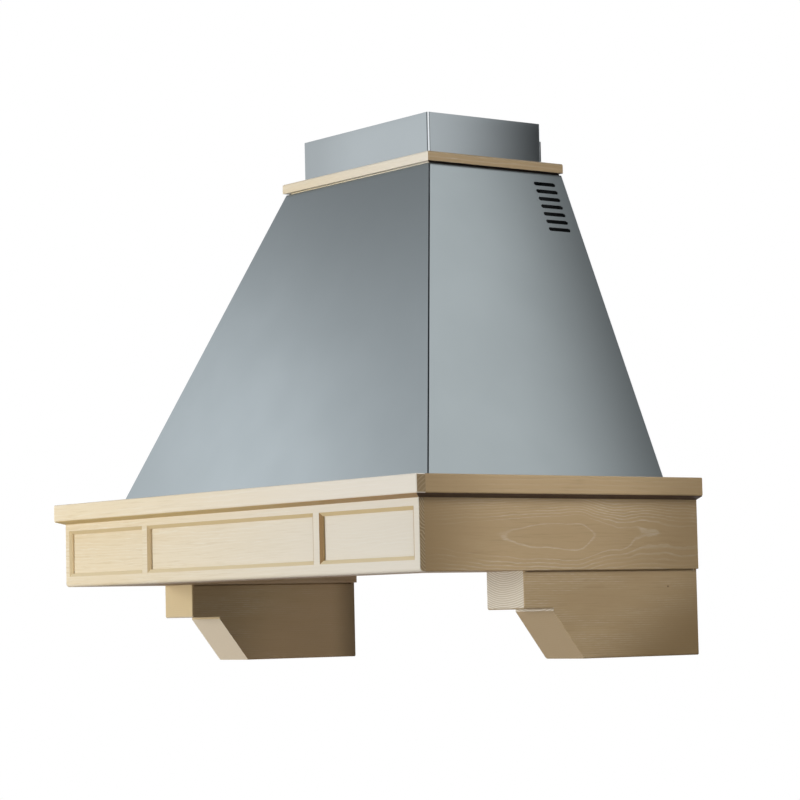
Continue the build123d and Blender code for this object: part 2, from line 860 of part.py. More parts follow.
# ------------------------------------------------------------------ filters
filter_x0 = aperture_inner_x + filter_clearance
filter_x1 = filter_x0 + filter_width
filter_mid_x = (filter_x0 + filter_x1) / 2
filter_rear_y = aperture_rear_y - filter_clearance
filter_front_y = aperture_front_y + filter_clearance
filter_top_z = liner_bottom_z + filter_thickness
mesh_x = (filter_x0 + frame_member, filter_x1 - frame_member)
mesh_y = (filter_front_y + frame_front_member, filter_rear_y - frame_member)
mesh_z = (
    liner_bottom_z + mesh_lip_thickness,
    liner_bottom_z + mesh_lip_thickness + mesh_thickness,
)
pocket_front_y = filter_front_y + latch_pocket_wall
pocket_rear_y = pocket_front_y + latch_pocket_length
pocket_half = latch_pocket_width / 2
tongue_z = (liner_plate_z + tongue_gap, liner_plate_z + tongue_gap + tongue_thickness)
rib_z = (tongue_z[1], tongue_z[1] + latch_rib_height)

with BuildPart() as filter_frame:
    block((filter_x0, filter_x1), (filter_front_y, filter_rear_y), (liner_bottom_z, filter_top_z))
    block(mesh_x, mesh_y, (liner_bottom_z, filter_top_z), mode=Mode.SUBTRACT)
    block(
        (mesh_x[0] - mesh_lip, mesh_x[1] + mesh_lip),
        (mesh_y[0] - mesh_lip, mesh_y[1] + mesh_lip),
        (mesh_z[0], filter_top_z),
        mode=Mode.SUBTRACT,
    )
    block(
        (filter_mid_x - pocket_half, filter_mid_x + pocket_half),
        (pocket_front_y, pocket_rear_y),
        (liner_bottom_z, liner_bottom_z + latch_pocket_depth),
        mode=Mode.SUBTRACT,
    )
    block(
        (filter_mid_x - pocket_half - latch_rib, filter_mid_x + pocket_half + latch_rib),
        (pocket_front_y, pocket_rear_y),
        (rib_z[0] - tongue_gap, rib_z[1] + tongue_gap),
        mode=Mode.SUBTRACT,
    )
    block(
        (filter_mid_x - tongue_width / 2 - tongue_gap, filter_mid_x + tongue_width / 2 + tongue_gap),
        (filter_front_y, pocket_front_y),
        (tongue_z[0] - tongue_gap, tongue_z[1] + tongue_gap),
        mode=Mode.SUBTRACT,
    )
    for offset in (-rear_tab_spacing / 2, rear_tab_spacing / 2):
        block(
            (filter_mid_x + offset - rear_tab_width / 2, filter_mid_x + offset + rear_tab_width / 2),
            (filter_rear_y - mesh_lip, aperture_rear_y + tongue_overlap),
            tongue_z,
        )
save_pair(filter_frame, "filter_frame")

with BuildPart() as filter_meshes:
    block(
        (mesh_x[0] - mesh_lip + mesh_clearance, mesh_x[1] + mesh_lip - mesh_clearance),
        (mesh_y[0] - mesh_lip + mesh_clearance, mesh_y[1] + mesh_lip - mesh_clearance),
        mesh_z,
    )
    mirror(about=Plane.YZ)
save(filter_meshes, "filter_meshes")

latch_front_y = pocket_front_y + latch_play
latch_rear_y = pocket_rear_y - latch_travel - latch_play
latch_z = (liner_plate_z, liner_plate_z + latch_thickness)
latch_half = pocket_half - tongue_gap

with BuildPart() as filter_latch:
    block(
        (filter_mid_x - latch_half, filter_mid_x + latch_half),
        (latch_front_y, latch_rear_y),
        latch_z,
    )
    block(
        (filter_mid_x - latch_half - latch_rib, filter_mid_x + latch_half + latch_rib),
        (latch_front_y, latch_rear_y),
        rib_z,
    )
    block(
        (filter_mid_x - tongue_width / 2, filter_mid_x + tongue_width / 2),
        (aperture_front_y - tongue_overlap, latch_front_y),
        tongue_z,
    )
    block(
        (filter_mid_x - grip_width / 2, filter_mid_x + grip_width / 2),
        (latch_front_y, latch_front_y + grip_length),
        (liner_bottom_z, liner_plate_z),
    )
save_pair(filter_latch, "filter_latch")

# ------------------------------------------------------------------ controls
trim_z = (liner_bottom_z - control_trim_thickness, liner_bottom_z)
flange_bottom_z = liner_plate_z + button_clearance
flange_z = (flange_bottom_z, flange_bottom_z + button_flange_thickness)
stem_top_z = flange_z[1] + button_stem_length
block_half = control_width / 2

with BuildPart() as control_trim:
    with BuildSketch(Plane.XY.offset(trim_z[0])):
        with Locations((0, control_y)):
            RectangleRounded(control_width, switch_block_depth, button_radius)
        for x in button_places:
            with Locations((x, control_y)):
                Circle(button_radius + button_clearance, mode=Mode.SUBTRACT)
    extrude(amount=control_trim_thickness)
save(control_trim, "control_trim")

with BuildPart() as switch_block:
    block(
        (-block_half, block_half),
        (control_y - switch_block_depth / 2, control_y + switch_block_depth / 2),
        (liner_plate_z, liner_plate_z + switch_block_height),
    )
    for x in button_places:
        post(
            x,
            control_y,
            (liner_plate_z, flange_z[1] + button_travel + 2 * button_clearance),
            button_radius + button_flange + button_clearance,
            mode=Mode.SUBTRACT,
        )
        post(
            x,
            control_y,
            (liner_plate_z, stem_top_z + button_travel + 2 * button_clearance),
            button_stem_radius + button_clearance,
            mode=Mode.SUBTRACT,
        )
save(switch_block, "switch_block")

for name, x in zip(button_names, button_places):
    with BuildPart() as button:
        post(x, control_y, (liner_bottom_z - button_rise, flange_z[0]), button_radius)
        fillet(button.edges().group_by(Axis.Z)[0], radius=button_edge_radius)
        post(x, control_y, flange_z, button_radius + button_flange)
        post(x, control_y, (flange_z[1], stem_top_z), button_stem_radius)
    save(button, f"button_{name}")

# ------------------------------------------------------------------ lamps
with BuildPart() as lamp_rings:
    for x, y in lamp_places:
        ring_z = (liner_bottom_z - lamp_ring_thickness, liner_bottom_z)
        post(x, y, ring_z, lamp_radius + sheet)
        post(x, y, ring_z, lamp_radius - lamp_ring_land, mode=Mode.SUBTRACT)
save(lamp_rings, "lamp_rings")

with BuildPart() as lamp_lenses:
    for x, y in lamp_places:
        post(x, y, (liner_bottom_z, liner_bottom_z + lens_thickness), lens_radius)
save(lamp_lenses, "lamp_lenses")

with BuildPart() as lamp_housings:
    for x, y in lamp_places:
        post(x, y, (liner_plate_z, liner_plate_z + lamp_height), lamp_radius)
        post(
            x,
            y,
            (liner_plate_z, liner_plate_z + lamp_height - lamp_wall),
            lamp_radius - lamp_wall,
            mode=Mode.SUBTRACT,
        )
save(lamp_housings, "lamp_housings")

# ------------------------------------------------------------------ blower
spigot_base_z = chamber_top_z
spigot_top_z = spigot_base_z + spigot_height
spigot_bore = duct_radius - spigot_wall
gland_x = -flue_inner_half + gland_flue_gap
gland_y = -flue_wall_gap - gland_flue_gap

with BuildPart() as blower_chamber:
    block(
        (-chamber_half, chamber_half),
        (chamber_front_y, chamber_rear_y),
        (liner_top_z, chamber_roof_z),
    )
    block(
        (-chamber_half + sheet, chamber_half - sheet),
        (chamber_front_y + sheet, chamber_rear_y - sheet),
        (liner_top_z + sheet, chamber_roof_z),
        mode=Mode.SUBTRACT,
    )
    block(
        (-chamber_half + chamber_flange, chamber_half - chamber_flange),
        (chamber_front_y + chamber_flange, chamber_rear_y - chamber_flange),
        (liner_top_z, liner_top_z + sheet),
        mode=Mode.SUBTRACT,
    )
save(blower_chamber, "blower_chamber")

with BuildPart() as chamber_roof:
    block(
        (-chamber_half, chamber_half),
        (chamber_front_y, chamber_rear_y),
        (chamber_roof_z, chamber_top_z),
    )
    post(0, flue_y, (chamber_roof_z, chamber_top_z), spigot_bore, mode=Mode.SUBTRACT)
    post(gland_x, gland_y, (chamber_roof_z, chamber_top_z), gland_bore, mode=Mode.SUBTRACT)
save(chamber_roof, "chamber_roof")

with BuildPart() as cable_gland:
    gland_top_z = chamber_top_z + gland_height
    with BuildSketch(Plane.XY.offset(chamber_top_z)):
        with Locations((gland_x, gland_y)):
            RegularPolygon(gland_radius, 6)
    extrude(amount=gland_height / 2)
    post(gland_x, gland_y, (chamber_top_z, gland_top_z), gland_radius * 0.8)
    post(gland_x, gland_y, (chamber_top_z, gland_top_z), gland_bore, mode=Mode.SUBTRACT)
save(cable_gland, "cable_gland")

spiral_steps = 10
neck_flange_half = duct_radius + neck_flange_margin


def scroll_face(plane, inset):
    """The scroll seen from the front, on the given plane and drawn in by inset."""
    first = degrees(acos((tongue_reach + inset) / (scroll_start_radius - inset)))
    points = []
    for i in range(spiral_steps + 1):
        angle = first + (to_outlet - first) * i / spiral_steps
        reach = spiral_radius(angle) - inset
        points.append((fan_x + reach * cos(radians(angle)), fan_z + reach * sin(radians(angle))))
    with BuildSketch(plane) as outline:
        with BuildLine():
            curve = Spline(*points)
            Polyline(
                curve @ 1,
                (points[-1][0], chamber_roof_z),
                (points[0][0], chamber_roof_z),
                curve @ 0,
            )
        make_face()
    return outline.sketch


def scroll_half(outer_y, inward):
    """One moulded half of the scroll, from its side plate at outer_y to the joint plane."""
    outer_face = Plane(origin=(0, outer_y, 0), x_dir=(1, 0, 0), z_dir=(0, -1, 0))
    with BuildSketch(outer_face) as inlet:
        with Locations((fan_x, fan_z)):
            Circle(inlet_radius)
    extrude(scroll_face(outer_face, 0), amount=-inward * scroll_width / 2)
    block(
        (-neck_flange_half, neck_flange_half),
        sorted((flue_y, flue_y - inward * neck_flange_half)),
        (chamber_roof_z - scroll_wall, chamber_roof_z),
    )
    inner_face = outer_face.offset(-inward * scroll_wall)
    inner_depth = scroll_width / 2 - scroll_wall
    extrude(scroll_face(inner_face, scroll_wall), amount=-inward * inner_depth, mode=Mode.SUBTRACT)
    extrude(inlet.sketch, amount=-inward * scroll_wall, mode=Mode.SUBTRACT)


scroll_front_y = flue_y - scroll_width / 2
scroll_rear_y = flue_y + scroll_width / 2
motor_front_y = scroll_front_y - spider_arm_thickness
fan_axis = Plane(origin=(fan_x, flue_y, fan_z), x_dir=(1, 0, 0), z_dir=(0, -1, 0))
spider_plane = fan_axis.offset(scroll_width / 2)

with BuildPart() as scroll_front:
    scroll_half(scroll_front_y, 1)
    with BuildSketch(spider_plane):
        Circle(motor_radius)
        arm_length = inlet_radius + spider_arm_width
        with PolarLocations(arm_length / 2, 3):
            Rectangle(arm_length, spider_arm_width)
    extrude(amount=spider_arm_thickness)
save(scroll_front, "scroll_front")

with BuildPart() as scroll_rear:
    scroll_half(scroll_rear_y, -1)
save(scroll_rear, "scroll_rear")

# ------------------------------------------------------------------ fan, on the plane of its web
impeller_radius = scroll_start_radius - impeller_gap
motor_rear = scroll_width / 2 - motor_length  # along the fan's axis, towards the front

with BuildPart() as motor:
    with BuildSketch(fan_axis.offset(motor_rear)):
        Circle(motor_radius)
        Circle(shaft_radius + shaft_clearance, mode=Mode.SUBTRACT)
    extrude(amount=motor_length)
    rims = motor.edges().filter_by(GeomType.CIRCLE).sort_by(SortBy.RADIUS)[-2:]
    fillet(rims, radius=motor_edge_radius)
save(motor, "motor")

with BuildPart() as fan_shaft:
    with BuildSketch(fan_axis.offset(-hub_length / 2)):
        Circle(shaft_radius)
    extrude(amount=hub_length / 2 + motor_rear + motor_length - motor_web_gap)
save(fan_shaft, "fan_shaft")

with BuildPart() as impeller:
    with BuildSketch(fan_axis.offset(-impeller_ring_thickness / 2)):
        Circle(impeller_radius)
        Circle(shaft_radius, mode=Mode.SUBTRACT)
    extrude(amount=impeller_ring_thickness)
    with BuildSketch(fan_axis.offset(-hub_length / 2)):
        Circle(hub_radius)
        Circle(shaft_radius, mode=Mode.SUBTRACT)
    extrude(amount=hub_length)
    for end in (-impeller_width / 2, impeller_width / 2 - impeller_ring_thickness):
        with BuildSketch(fan_axis.offset(end)):
            Circle(impeller_radius)
            Circle(impeller_radius - blade_length, mode=Mode.SUBTRACT)
        extrude(amount=impeller_ring_thickness)
    with BuildSketch(fan_axis.offset(-impeller_width / 2)):
        with PolarLocations(impeller_radius - blade_length / 2, blade_count):
            Rectangle(blade_length, blade_thickness, rotation=blade_tilt)
    extrude(amount=impeller_width)
save(impeller, "impeller")

# ------------------------------------------------------------------ outlet spigot and flaps
pin_z = spigot_base_z + flap_pin_height
flap_z = pin_z - knuckle_radius + flap_thickness / 2
seat_top_z = flap_z - flap_seat_gap
flap_radius = spigot_bore - flap_rim_clearance
flap_inner_x = knuckle_radius + knuckle_play

with BuildPart() as outlet_spigot:
    post(
        0,
        flue_y,
        (spigot_base_z, spigot_base_z + spigot_flange_thickness),
        duct_radius + spigot_flange,
    )
    post(0, flue_y, (spigot_base_z, spigot_top_z), duct_radius)
    post(0, flue_y, (spigot_base_z, spigot_top_z), spigot_bore, mode=Mode.SUBTRACT)
    with BuildSketch(Plane.XY.offset(seat_top_z - flap_seat_thickness)):
        with Locations((0, flue_y)):
            Circle(spigot_bore)
            Circle(spigot_bore - flap_seat, mode=Mode.SUBTRACT)
    extrude(amount=flap_seat_thickness)
    with BuildSketch(Plane.XZ.offset(-flue_y + duct_radius)):
        with Locations((0, pin_z)):
            Circle(flap_pin_radius + flap_bore_clearance)
    extrude(amount=-2 * duct_radius, mode=Mode.SUBTRACT)
save(outlet_spigot, "outlet_spigot")

with BuildPart() as flap_pin:
    with BuildSketch(Plane.XZ.offset(-flue_y + duct_radius)):
        with Locations((0, pin_z)):
            Circle(flap_pin_radius)
    extrude(amount=-2 * duct_radius)
save(flap_pin, "flap_pin")

knuckle_spans = [(-2 * knuckle_length, -knuckle_length), (0, knuckle_length)]

with BuildPart() as flap_left:
    with BuildSketch(Plane.XY.offset(flap_z)):
        with Locations((0, flue_y)):
            Circle(flap_radius)
        with Locations((duct_radius - flap_inner_x, flue_y)):
            Rectangle(2 * duct_radius, 2 * duct_radius, mode=Mode.SUBTRACT)
        for low, high in knuckle_spans:
            with Locations((-flap_inner_x, flue_y + (low + high) / 2)):
                Rectangle(2 * knuckle_radius, high - low - knuckle_play)
    extrude(amount=flap_thickness)
    for low, high in knuckle_spans:
        with BuildSketch(Plane.XZ.offset(-flue_y - low - knuckle_play / 2)):
            with Locations((0, pin_z)):
                Circle(knuckle_radius)
        extrude(amount=-(high - low - knuckle_play))
    with BuildSketch(Plane.XZ.offset(-flue_y + duct_radius)):
        with Locations((0, pin_z)):
            Circle(flap_pin_radius + flap_bore_clearance)
    extrude(amount=-2 * duct_radius, mode=Mode.SUBTRACT)
save(flap_left, "flap_left")

with BuildPart() as flap_right:
    turned = flap_left.part.rotate(Axis((0, flue_y, 0), (0, 0, 1)), 180)
    add(turned)
save(flap_right, "flap_right")

# ------------------------------------------------------------------ screws
with BuildPart() as flange_screws:
    foot_places = front_foot_screws + side_foot_screws + [(-x, y) for x, y in side_foot_screws]
    liner_places = liner_screws + [(-x, y) for x, y in liner_screws]
    seats = [(x, y, nosing_top_z + sheet) for x, y in foot_places]
    seats += [(x, y, liner_plate_z) for x, y in liner_places]
    for x, y, seat_z in seats:
        screw(
            x,
            y,
            seat_z,
            short_screw_radius,
            short_screw_length,
            short_head_radius,
            short_head_height,
        )
save(flange_screws, "flange_screws")

with BuildPart() as corbel_screws:
    for x, y in corbel_screws_right + [(-x, y) for x, y in corbel_screws_right]:
        screw(
            x,
            y,
            rail_top_z,
            long_screw_radius,
            long_screw_length,
            long_head_radius,
            long_head_height,
        )
save(corbel_screws, "corbel_screws")
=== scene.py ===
import math

import bpy
from mathutils import Matrix, Vector


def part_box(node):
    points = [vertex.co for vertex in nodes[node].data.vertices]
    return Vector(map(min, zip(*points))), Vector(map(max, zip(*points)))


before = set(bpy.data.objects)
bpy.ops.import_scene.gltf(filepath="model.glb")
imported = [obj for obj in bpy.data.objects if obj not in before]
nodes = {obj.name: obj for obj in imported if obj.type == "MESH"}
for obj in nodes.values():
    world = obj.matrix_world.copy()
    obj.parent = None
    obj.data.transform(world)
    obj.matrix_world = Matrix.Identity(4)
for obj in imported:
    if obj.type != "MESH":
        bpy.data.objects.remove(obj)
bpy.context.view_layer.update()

MM = 0.001


def linear(code):
    """An sRGB hex value as the linear colour that a shader reads."""
    parts = [int(code[i : i + 2], 16) / 255 for i in (0, 2, 4)]
    low = [c / 12.92 if c <= 0.04045 else ((c + 0.055) / 1.055) ** 2.4 for c in parts]
    return (*low, 1.0)


def add(tree, kind, inputs=(), **settings):
    """Add one node: settings are its properties, inputs its values or what they are read from.

    Inputs are a list in the order of the sockets, or go by the sockets' names or numbers.  A
    node among them stands for its first output.
    """
    made = tree.nodes.new("ShaderNode" + kind)
    for name, value in settings.items():
        setattr(made, name, value)
    by_socket = inputs if isinstance(inputs, dict) else dict(enumerate(inputs))
    for socket, value in by_socket.items():
        if isinstance(value, bpy.types.Node):
            value = value.outputs[0]
        if isinstance(value, bpy.types.NodeSocket):
            tree.links.new(value, made.inputs[socket])
        else:
            made.inputs[socket].default_value = value
    return made


def blank(name):
    """An empty material, and its node tree."""
    made = bpy.data.materials.new(name)
    made.use_nodes = True
    made.node_tree.nodes.clear()
    return made, made.node_tree


def give(material, *names):
    """Put a material on whole CAD nodes."""
    for name in names:
        mesh = nodes[name].data
        mesh.materials.clear()
        mesh.materials.append(material)


# A Mix node that mixes colours: its factor, first and second sockets, and its result.
MIX, MIX_A, MIX_B, MIX_OUT = 0, 6, 7, 2
COLOURS = dict(data_type="RGBA")
# A Map Range node whose sockets are the value, from where, to where, and what it gives there.
SMOOTH = dict(interpolation_type="SMOOTHSTEP")


# ---------------------------------------------------------------- limed ash
AXES = {"x": 0, "y": 1, "z": 2}

# the recessed panels, the foot of the side collars and the knot, in mm
PANEL_MIDDLE_Z = -9.5
PANEL_HALF_HEIGHT = 35.0
PANELS_HALF_WIDTH = 439.0
PANEL_MARGIN = 1.0
REBATE_HIGH = 2.8
COLLAR_REBATE_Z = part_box("collar_front")[0][2] / MM + REBATE_HIGH
KNOT_Y = -54.0
KNOT_Z = -83.6
KNOT_WIDE = 2.4
KNOT_HIGH = 0.7 * KNOT_WIDE

# from where to where the painted light, painted shade and other darkening change along X or Y, in mm
PANELS_DARKEN_X = (-460.0, 150.0)
FRONT_PAINTED_LIGHT_X = (-500.0, 450.0)
COVE_DEEPENS_X = (-150.0, 450.0)
SIDE_REAR_Y = (-190.0, 0.0)
SIDE_FRONT_Y = (-500.0, -330.0)
CORBEL_WALL_Y = (-50.0, 10.0)
CORBEL_BLOCK_Y = (-270.0, -150.0)
# painted light low on one corbel and painted shade at the heel of the other run slanting:
# they change along Y plus so many times Z, between these
LOW_SLANT = -1.2
LOW_REACH = (-120.0, 60.0)
HEEL_SLANT = -1.6
HEEL_REACH = (20.0, 240.0)


def limed_ash(name, along, across, heart, seed, **look):
    """Solid ash whose growth rings are shells round a heart line, seen alike on faces and ends.

    along and across are the board's grain and width axes and heart is a point of its heart
    line in mm.  The line bows away from the face on both sides of that point, which closes
    the rings into loops on a flat-sawn face.  White wax stays in the open early wood.
    """
    cut = dict(ASH, **look)
    made, tree = blank(name)
    depth = (set(AXES) - {along, across}).pop()
    place = add(tree, "TexCoord")
    mm = add(tree, "VectorMath", {0: place.outputs["Object"], "Scale": 1 / MM}, operation="SCALE")
    shifted = add(tree, "VectorMath", [mm, (seed, seed, seed)])
    axis = add(tree, "SeparateXYZ", [mm])
    # the limits of facing, here and in the marks, are cosines
    facing = add(tree, "SeparateXYZ", [place.outputs["Normal"]])

    def pattern(long_mm, wide_mm, detail=2.0, rough=0.5):
        """Random grains, so long along the board and so wide across it."""
        scale = [1 / wide_mm] * 3
        scale[AXES[along]] = 1 / long_mm
        vector = add(tree, "VectorMath", [shifted, scale], operation="MULTIPLY")
        return add(tree, "TexNoise", {"Vector": vector, "Scale": 1.0, "Detail": detail,
                                      "Roughness": rough})

    # distance from the heart line, which wanders a few millimetres along the board
    wander = pattern(cut["wander_mm"], cut["wander_wide"], 3.0)
    sway = add(tree, "SeparateColor", [wander.outputs["Color"]])
    swing = cut["swing_mm"]
    reach = add(tree, "Math", [axis.outputs[AXES[along]], heart[0]], operation="SUBTRACT")
    far = add(tree, "Math", [reach], operation="ABSOLUTE")
    reach = add(tree, "Math", [far, cut["skew"], reach], operation="MULTIPLY_ADD")
    squared = add(tree, "Math", [reach, reach], operation="MULTIPLY")
    softened = add(tree, "Math", [squared, cut["bow_mm"] ** 2], operation="ADD")
    bow = add(tree, "Math", [squared, softened], operation="DIVIDE")
    aside = add(tree, "Math", [axis.outputs[AXES[across]], heart[1] + swing / 2],
                operation="SUBTRACT")
    aside = add(tree, "Math", [sway, swing, aside], operation="MULTIPLY_ADD")
    far = add(tree, "Math", [aside], operation="ABSOLUTE")
    aside = add(tree, "Math", [far, cut["lean"], aside], operation="MULTIPLY_ADD")
    inward = add(tree, "Math", [axis.outputs[AXES[depth]], heart[2]], operation="SUBTRACT")
    inward = add(tree, "Math", [inward], operation="ABSOLUTE")
    inward = add(tree, "Math", [bow, cut["bow_depth"], inward], operation="MULTIPLY_ADD")
    inward = add(tree, "Math", [inward, swing / 2], operation="SUBTRACT")
    inward = add(tree, "Math", [sway.outputs[1], swing, inward], operation="MULTIPLY_ADD")
    aside = add(tree, "Math", [aside, aside], operation="MULTIPLY")
    inward = add(tree, "Math", [inward, inward], operation="MULTIPLY")
    radius = add(tree, "Math", [aside, inward], operation="ADD")
    radius = add(tree, "Math", [radius], operation="SQRT")

    # wide rings round the heart, then tight ones
    crowding = add(tree, "Math", [radius, cut["crowd_from"]], operation="SUBTRACT")
    crowding = add(tree, "Math", [crowding, 0.0], operation="MAXIMUM")
    count = add(tree, "Math", [radius, cut["wide_ring"]], operation="DIVIDE")
    closer = 1 / cut["tight_ring"] - 1 / cut["wide_ring"]
    count = add(tree, "Math", [crowding, closer, count], operation="MULTIPLY_ADD")
    count = add(tree, "Math", [count, cut["first_ring"]], operation="ADD")
    # each starts sharply with porous early wood, which fades into the dense late wood
    phase = add(tree, "Math", [count], operation="FRACT")
    share = add(tree, "MapRange", [crowding, 0.0, 3.0, cut["wide_share"], cut["tight_share"]],
                **SMOOTH)
    within = add(tree, "Math", [phase, share], operation="DIVIDE")
    fading = add(tree, "MapRange", [within, 0.45, 1.0, 1.0, 0.0], **SMOOTH)
    starting = add(tree, "MapRange", [phase, 0.0, 0.06], **SMOOTH)
    band = add(tree, "Math", [fading, starting], operation="MULTIPLY")

    # pores are 0.3 mm wide in real ash, drawn 1 mm wide so that they show
    fibre = pattern(cut["pore_long"], cut["pore_wide"], 3.0, 0.65)
    pores = add(tree, "MapRange", [fibre, 0.44, 0.68], **SMOOTH)
    # white wax fills the early wood and some other pores, and is worn off in patches
    patch = add(tree, "MapRange", [pattern(170, 26), 0.36, 0.62, cut["worn"], 1.0], **SMOOTH)
    liming = add(tree, "Math", [pores, 0.6, 0.4], operation="MULTIPLY_ADD")
    liming = add(tree, "Math", [liming, band], operation="MULTIPLY")
    liming = add(tree, "Math", [pores, cut["loose"], liming], operation="MULTIPLY_ADD")
    liming = add(tree, "Math", [liming, patch], operation="MULTIPLY")
    liming = add(tree, "Math", [liming, cut["liming"]], operation="MULTIPLY")
    # broad drifts of colour under the wax, and fine dark fibre between the pores
    drifts = add(tree, "MapRange", [pattern(320, 60, 3.0), 0.32, 0.68], **SMOOTH)
    streaks = add(tree, "MapRange", [pattern(60, 2.4, 3.0, 0.6), 0.50, 0.70, 0.0, cut["streak"]],
                  **SMOOTH)
    layers = [(drifts, linear(cut["drift"])), (streaks, linear(cut["dark"])),
              (liming, linear(cut["wax"]))]
    layers += [mark(tree, axis, facing) for mark in cut["marks"]]

    # end grain takes the stain and the wax in another way than the faces
    endways = add(tree, "Math", [facing.outputs[AXES[along]]], operation="ABSOLUTE")
    endways = add(tree, "MapRange", [endways, 0.88, 0.97], **SMOOTH)
    outermost = add(tree, "Math", [axis.outputs[AXES[along]]], operation="ABSOLUTE")
    outermost = add(tree, "Math", [outermost, cut["ends_beyond"]], operation="GREATER_THAN")
    on_end = add(tree, "Math", [endways, outermost], operation="MULTIPLY")
    arcs = add(tree, "Math", [band, cut["arc"]], operation="MULTIPLY")
    end_tones = {MIX: arcs, MIX_A: linear(cut["end"]), MIX_B: linear(cut["end_wax"])}
    layers.append((on_end, add(tree, "Mix", end_tones, **COLOURS).outputs[MIX_OUT]))

    colour = linear(cut["field"])
    for share, tone in layers:
        tones = {MIX: share, MIX_A: colour, MIX_B: tone}
        colour = add(tree, "Mix", tones, **COLOURS).outputs[MIX_OUT]
    relief = add(tree, "Math", [pores, 0.5, band], operation="MULTIPLY_ADD")
    bump = add(tree, "Bump", {"Height": relief, "Strength": 0.15, "Distance": 0.25 * MM},
               invert=True)
    rough = add(tree, "MapRange", [fibre, 0.3, 0.7, 0.42, 0.60], **SMOOTH)
    shader = add(tree, "BsdfPrincipled", {"Base Color": colour, "Roughness": rough, "Normal": bump,
                                          "IOR": 1.5, "Specular IOR Level": 0.3})
    add(tree, "OutputMaterial", [shader])
    return made


# each mark below gives where a stain, painted light or painted shade lies on a board, and its colour
def panel_painted_light_and_shade(tree, axis, facing):
    """Painted shade on the front board's panel slopes, painted light on their steps; darker to the
    right.
    """
    inside = add(tree, "MapRange", [facing.outputs[1], -0.99, -0.93], **SMOOTH)
    height = add(tree, "Math", [axis.outputs[2], PANEL_MIDDLE_Z], operation="SUBTRACT")
    for place, limit in ((height, PANEL_HALF_HEIGHT), (axis.outputs[0], PANELS_HALF_WIDTH)):
        place = add(tree, "Math", [place], operation="ABSOLUTE")
        within = add(tree, "Math", [place, limit + PANEL_MARGIN], operation="LESS_THAN")
        inside = add(tree, "Math", [inside, within], operation="MULTIPLY")
    # along the grain the slopes that look down get painted shade; across the grain each slope gets
    # a browner painted shade, and the small upright step beside it gets painted light to stay pale
    upwards = add(tree, "MapRange", [facing.outputs[2], -0.3, 0.3], **SMOOTH)
    rightness = add(tree, "MapRange", [axis.outputs[0], *PANELS_DARKEN_X], **SMOOTH)
    sideways = add(tree, "Math", [facing.outputs[0]], operation="ABSOLUTE")
    crossing = add(tree, "MapRange", [sideways, 0.2, 0.5], **SMOOTH)
    upright = add(tree, "MapRange", [sideways, 0.85, 0.95], **SMOOTH)
    slope_tones = []
    for share, first, second in ((upwards, "CDB98F", "DFCFAB"), (rightness, "E6D2A8", "A6875D"),
                                 (rightness, "FFECC8", "B59C70")):
        tones = {MIX: share, MIX_A: linear(first), MIX_B: linear(second)}
        slope_tones.append(add(tree, "Mix", tones, **COLOURS).outputs[MIX_OUT])
    along, slope, step = slope_tones
    tones = {MIX: upright, MIX_A: slope, MIX_B: step}
    across = add(tree, "Mix", tones, **COLOURS).outputs[MIX_OUT]
    tones = {MIX: crossing, MIX_A: along, MIX_B: across}
    return inside, add(tree, "Mix", tones, **COLOURS).outputs[MIX_OUT]


def slope_painted_light(code):
    """Painted light on the slanting cut under a corbel's block, which looks down and forwards."""
    def mark(tree, axis, facing):
        downwards = add(tree, "MapRange", [facing.outputs[2], -0.30, -0.45], **SMOOTH)
        forwards = add(tree, "MapRange", [facing.outputs[1], -0.50, -0.70], **SMOOTH)
        cut = add(tree, "Math", [downwards, forwards], operation="MULTIPLY")
        return add(tree, "Math", [cut, 0.85], operation="MULTIPLY"), linear(code)
    return mark


def paler_right_painted_light(code):
    """Painted light: cream that pales towards the right-hand end of the front."""
    def mark(tree, axis, facing):
        share = add(tree, "MapRange", [axis.outputs[0], *FRONT_PAINTED_LIGHT_X, 0.0, 0.75], **SMOOTH)
        return share, linear(code)
    return mark


def deeper_right(tree, axis, facing):
    """Darker brown towards the right-hand end of the front cove."""
    share = add(tree, "MapRange", [axis.outputs[0], *COVE_DEEPENS_X], **SMOOTH)
    return share, linear("A08054")


def low_painted_light(tree, axis, facing):
    """Painted light: paler, warmer wood low on a corbel."""
    low = add(tree, "Math", [axis.outputs[2], LOW_SLANT, axis.outputs[1]], operation="MULTIPLY_ADD")
    share = add(tree, "MapRange", [low, *LOW_REACH, 0.0, 0.7], **SMOOTH)
    return share, linear("CDB08A")


def wall_painted_shade(tree, axis, facing):
    """Painted shade: darker where a corbel meets the wall and its block."""
    wall = add(tree, "MapRange", [axis.outputs[1], *CORBEL_WALL_Y, 0.0, 0.9], **SMOOTH)
    block = add(tree, "MapRange", [axis.outputs[1], *CORBEL_BLOCK_Y, 0.45, 0.0], **SMOOTH)
    return add(tree, "Math", [wall, block], operation="ADD"), linear("7A6648")


def painted_shade_at_ends(rear_share, front_share):
    """Painted shade towards both ends of a side piece."""
    def mark(tree, axis, facing):
        rear = add(tree, "MapRange", [axis.outputs[1], *SIDE_REAR_Y, 0.0, rear_share], **SMOOTH)
        front = add(tree, "MapRange", [axis.outputs[1], *SIDE_FRONT_Y, front_share, 0.0], **SMOOTH)
        return add(tree, "Math", [rear, front], operation="ADD"), linear("957E5A")
    return mark


def heel_painted_shade(tree, axis, facing):
    """Painted shade at the lower rear corner of a corbel."""
    low = add(tree, "Math", [axis.outputs[2], HEEL_SLANT, axis.outputs[1]], operation="MULTIPLY_ADD")
    return add(tree, "MapRange", [low, *HEEL_REACH], **SMOOTH), linear("937C58")


def rebate_painted_shade(tree, axis, facing):
    """Painted shade in the rebate along the foot of a side collar, which draws a dark line under it.
    """
    low = add(tree, "Math", [axis.outputs[2], COLLAR_REBATE_Z], operation="LESS_THAN")
    return low, linear("2A1F17")


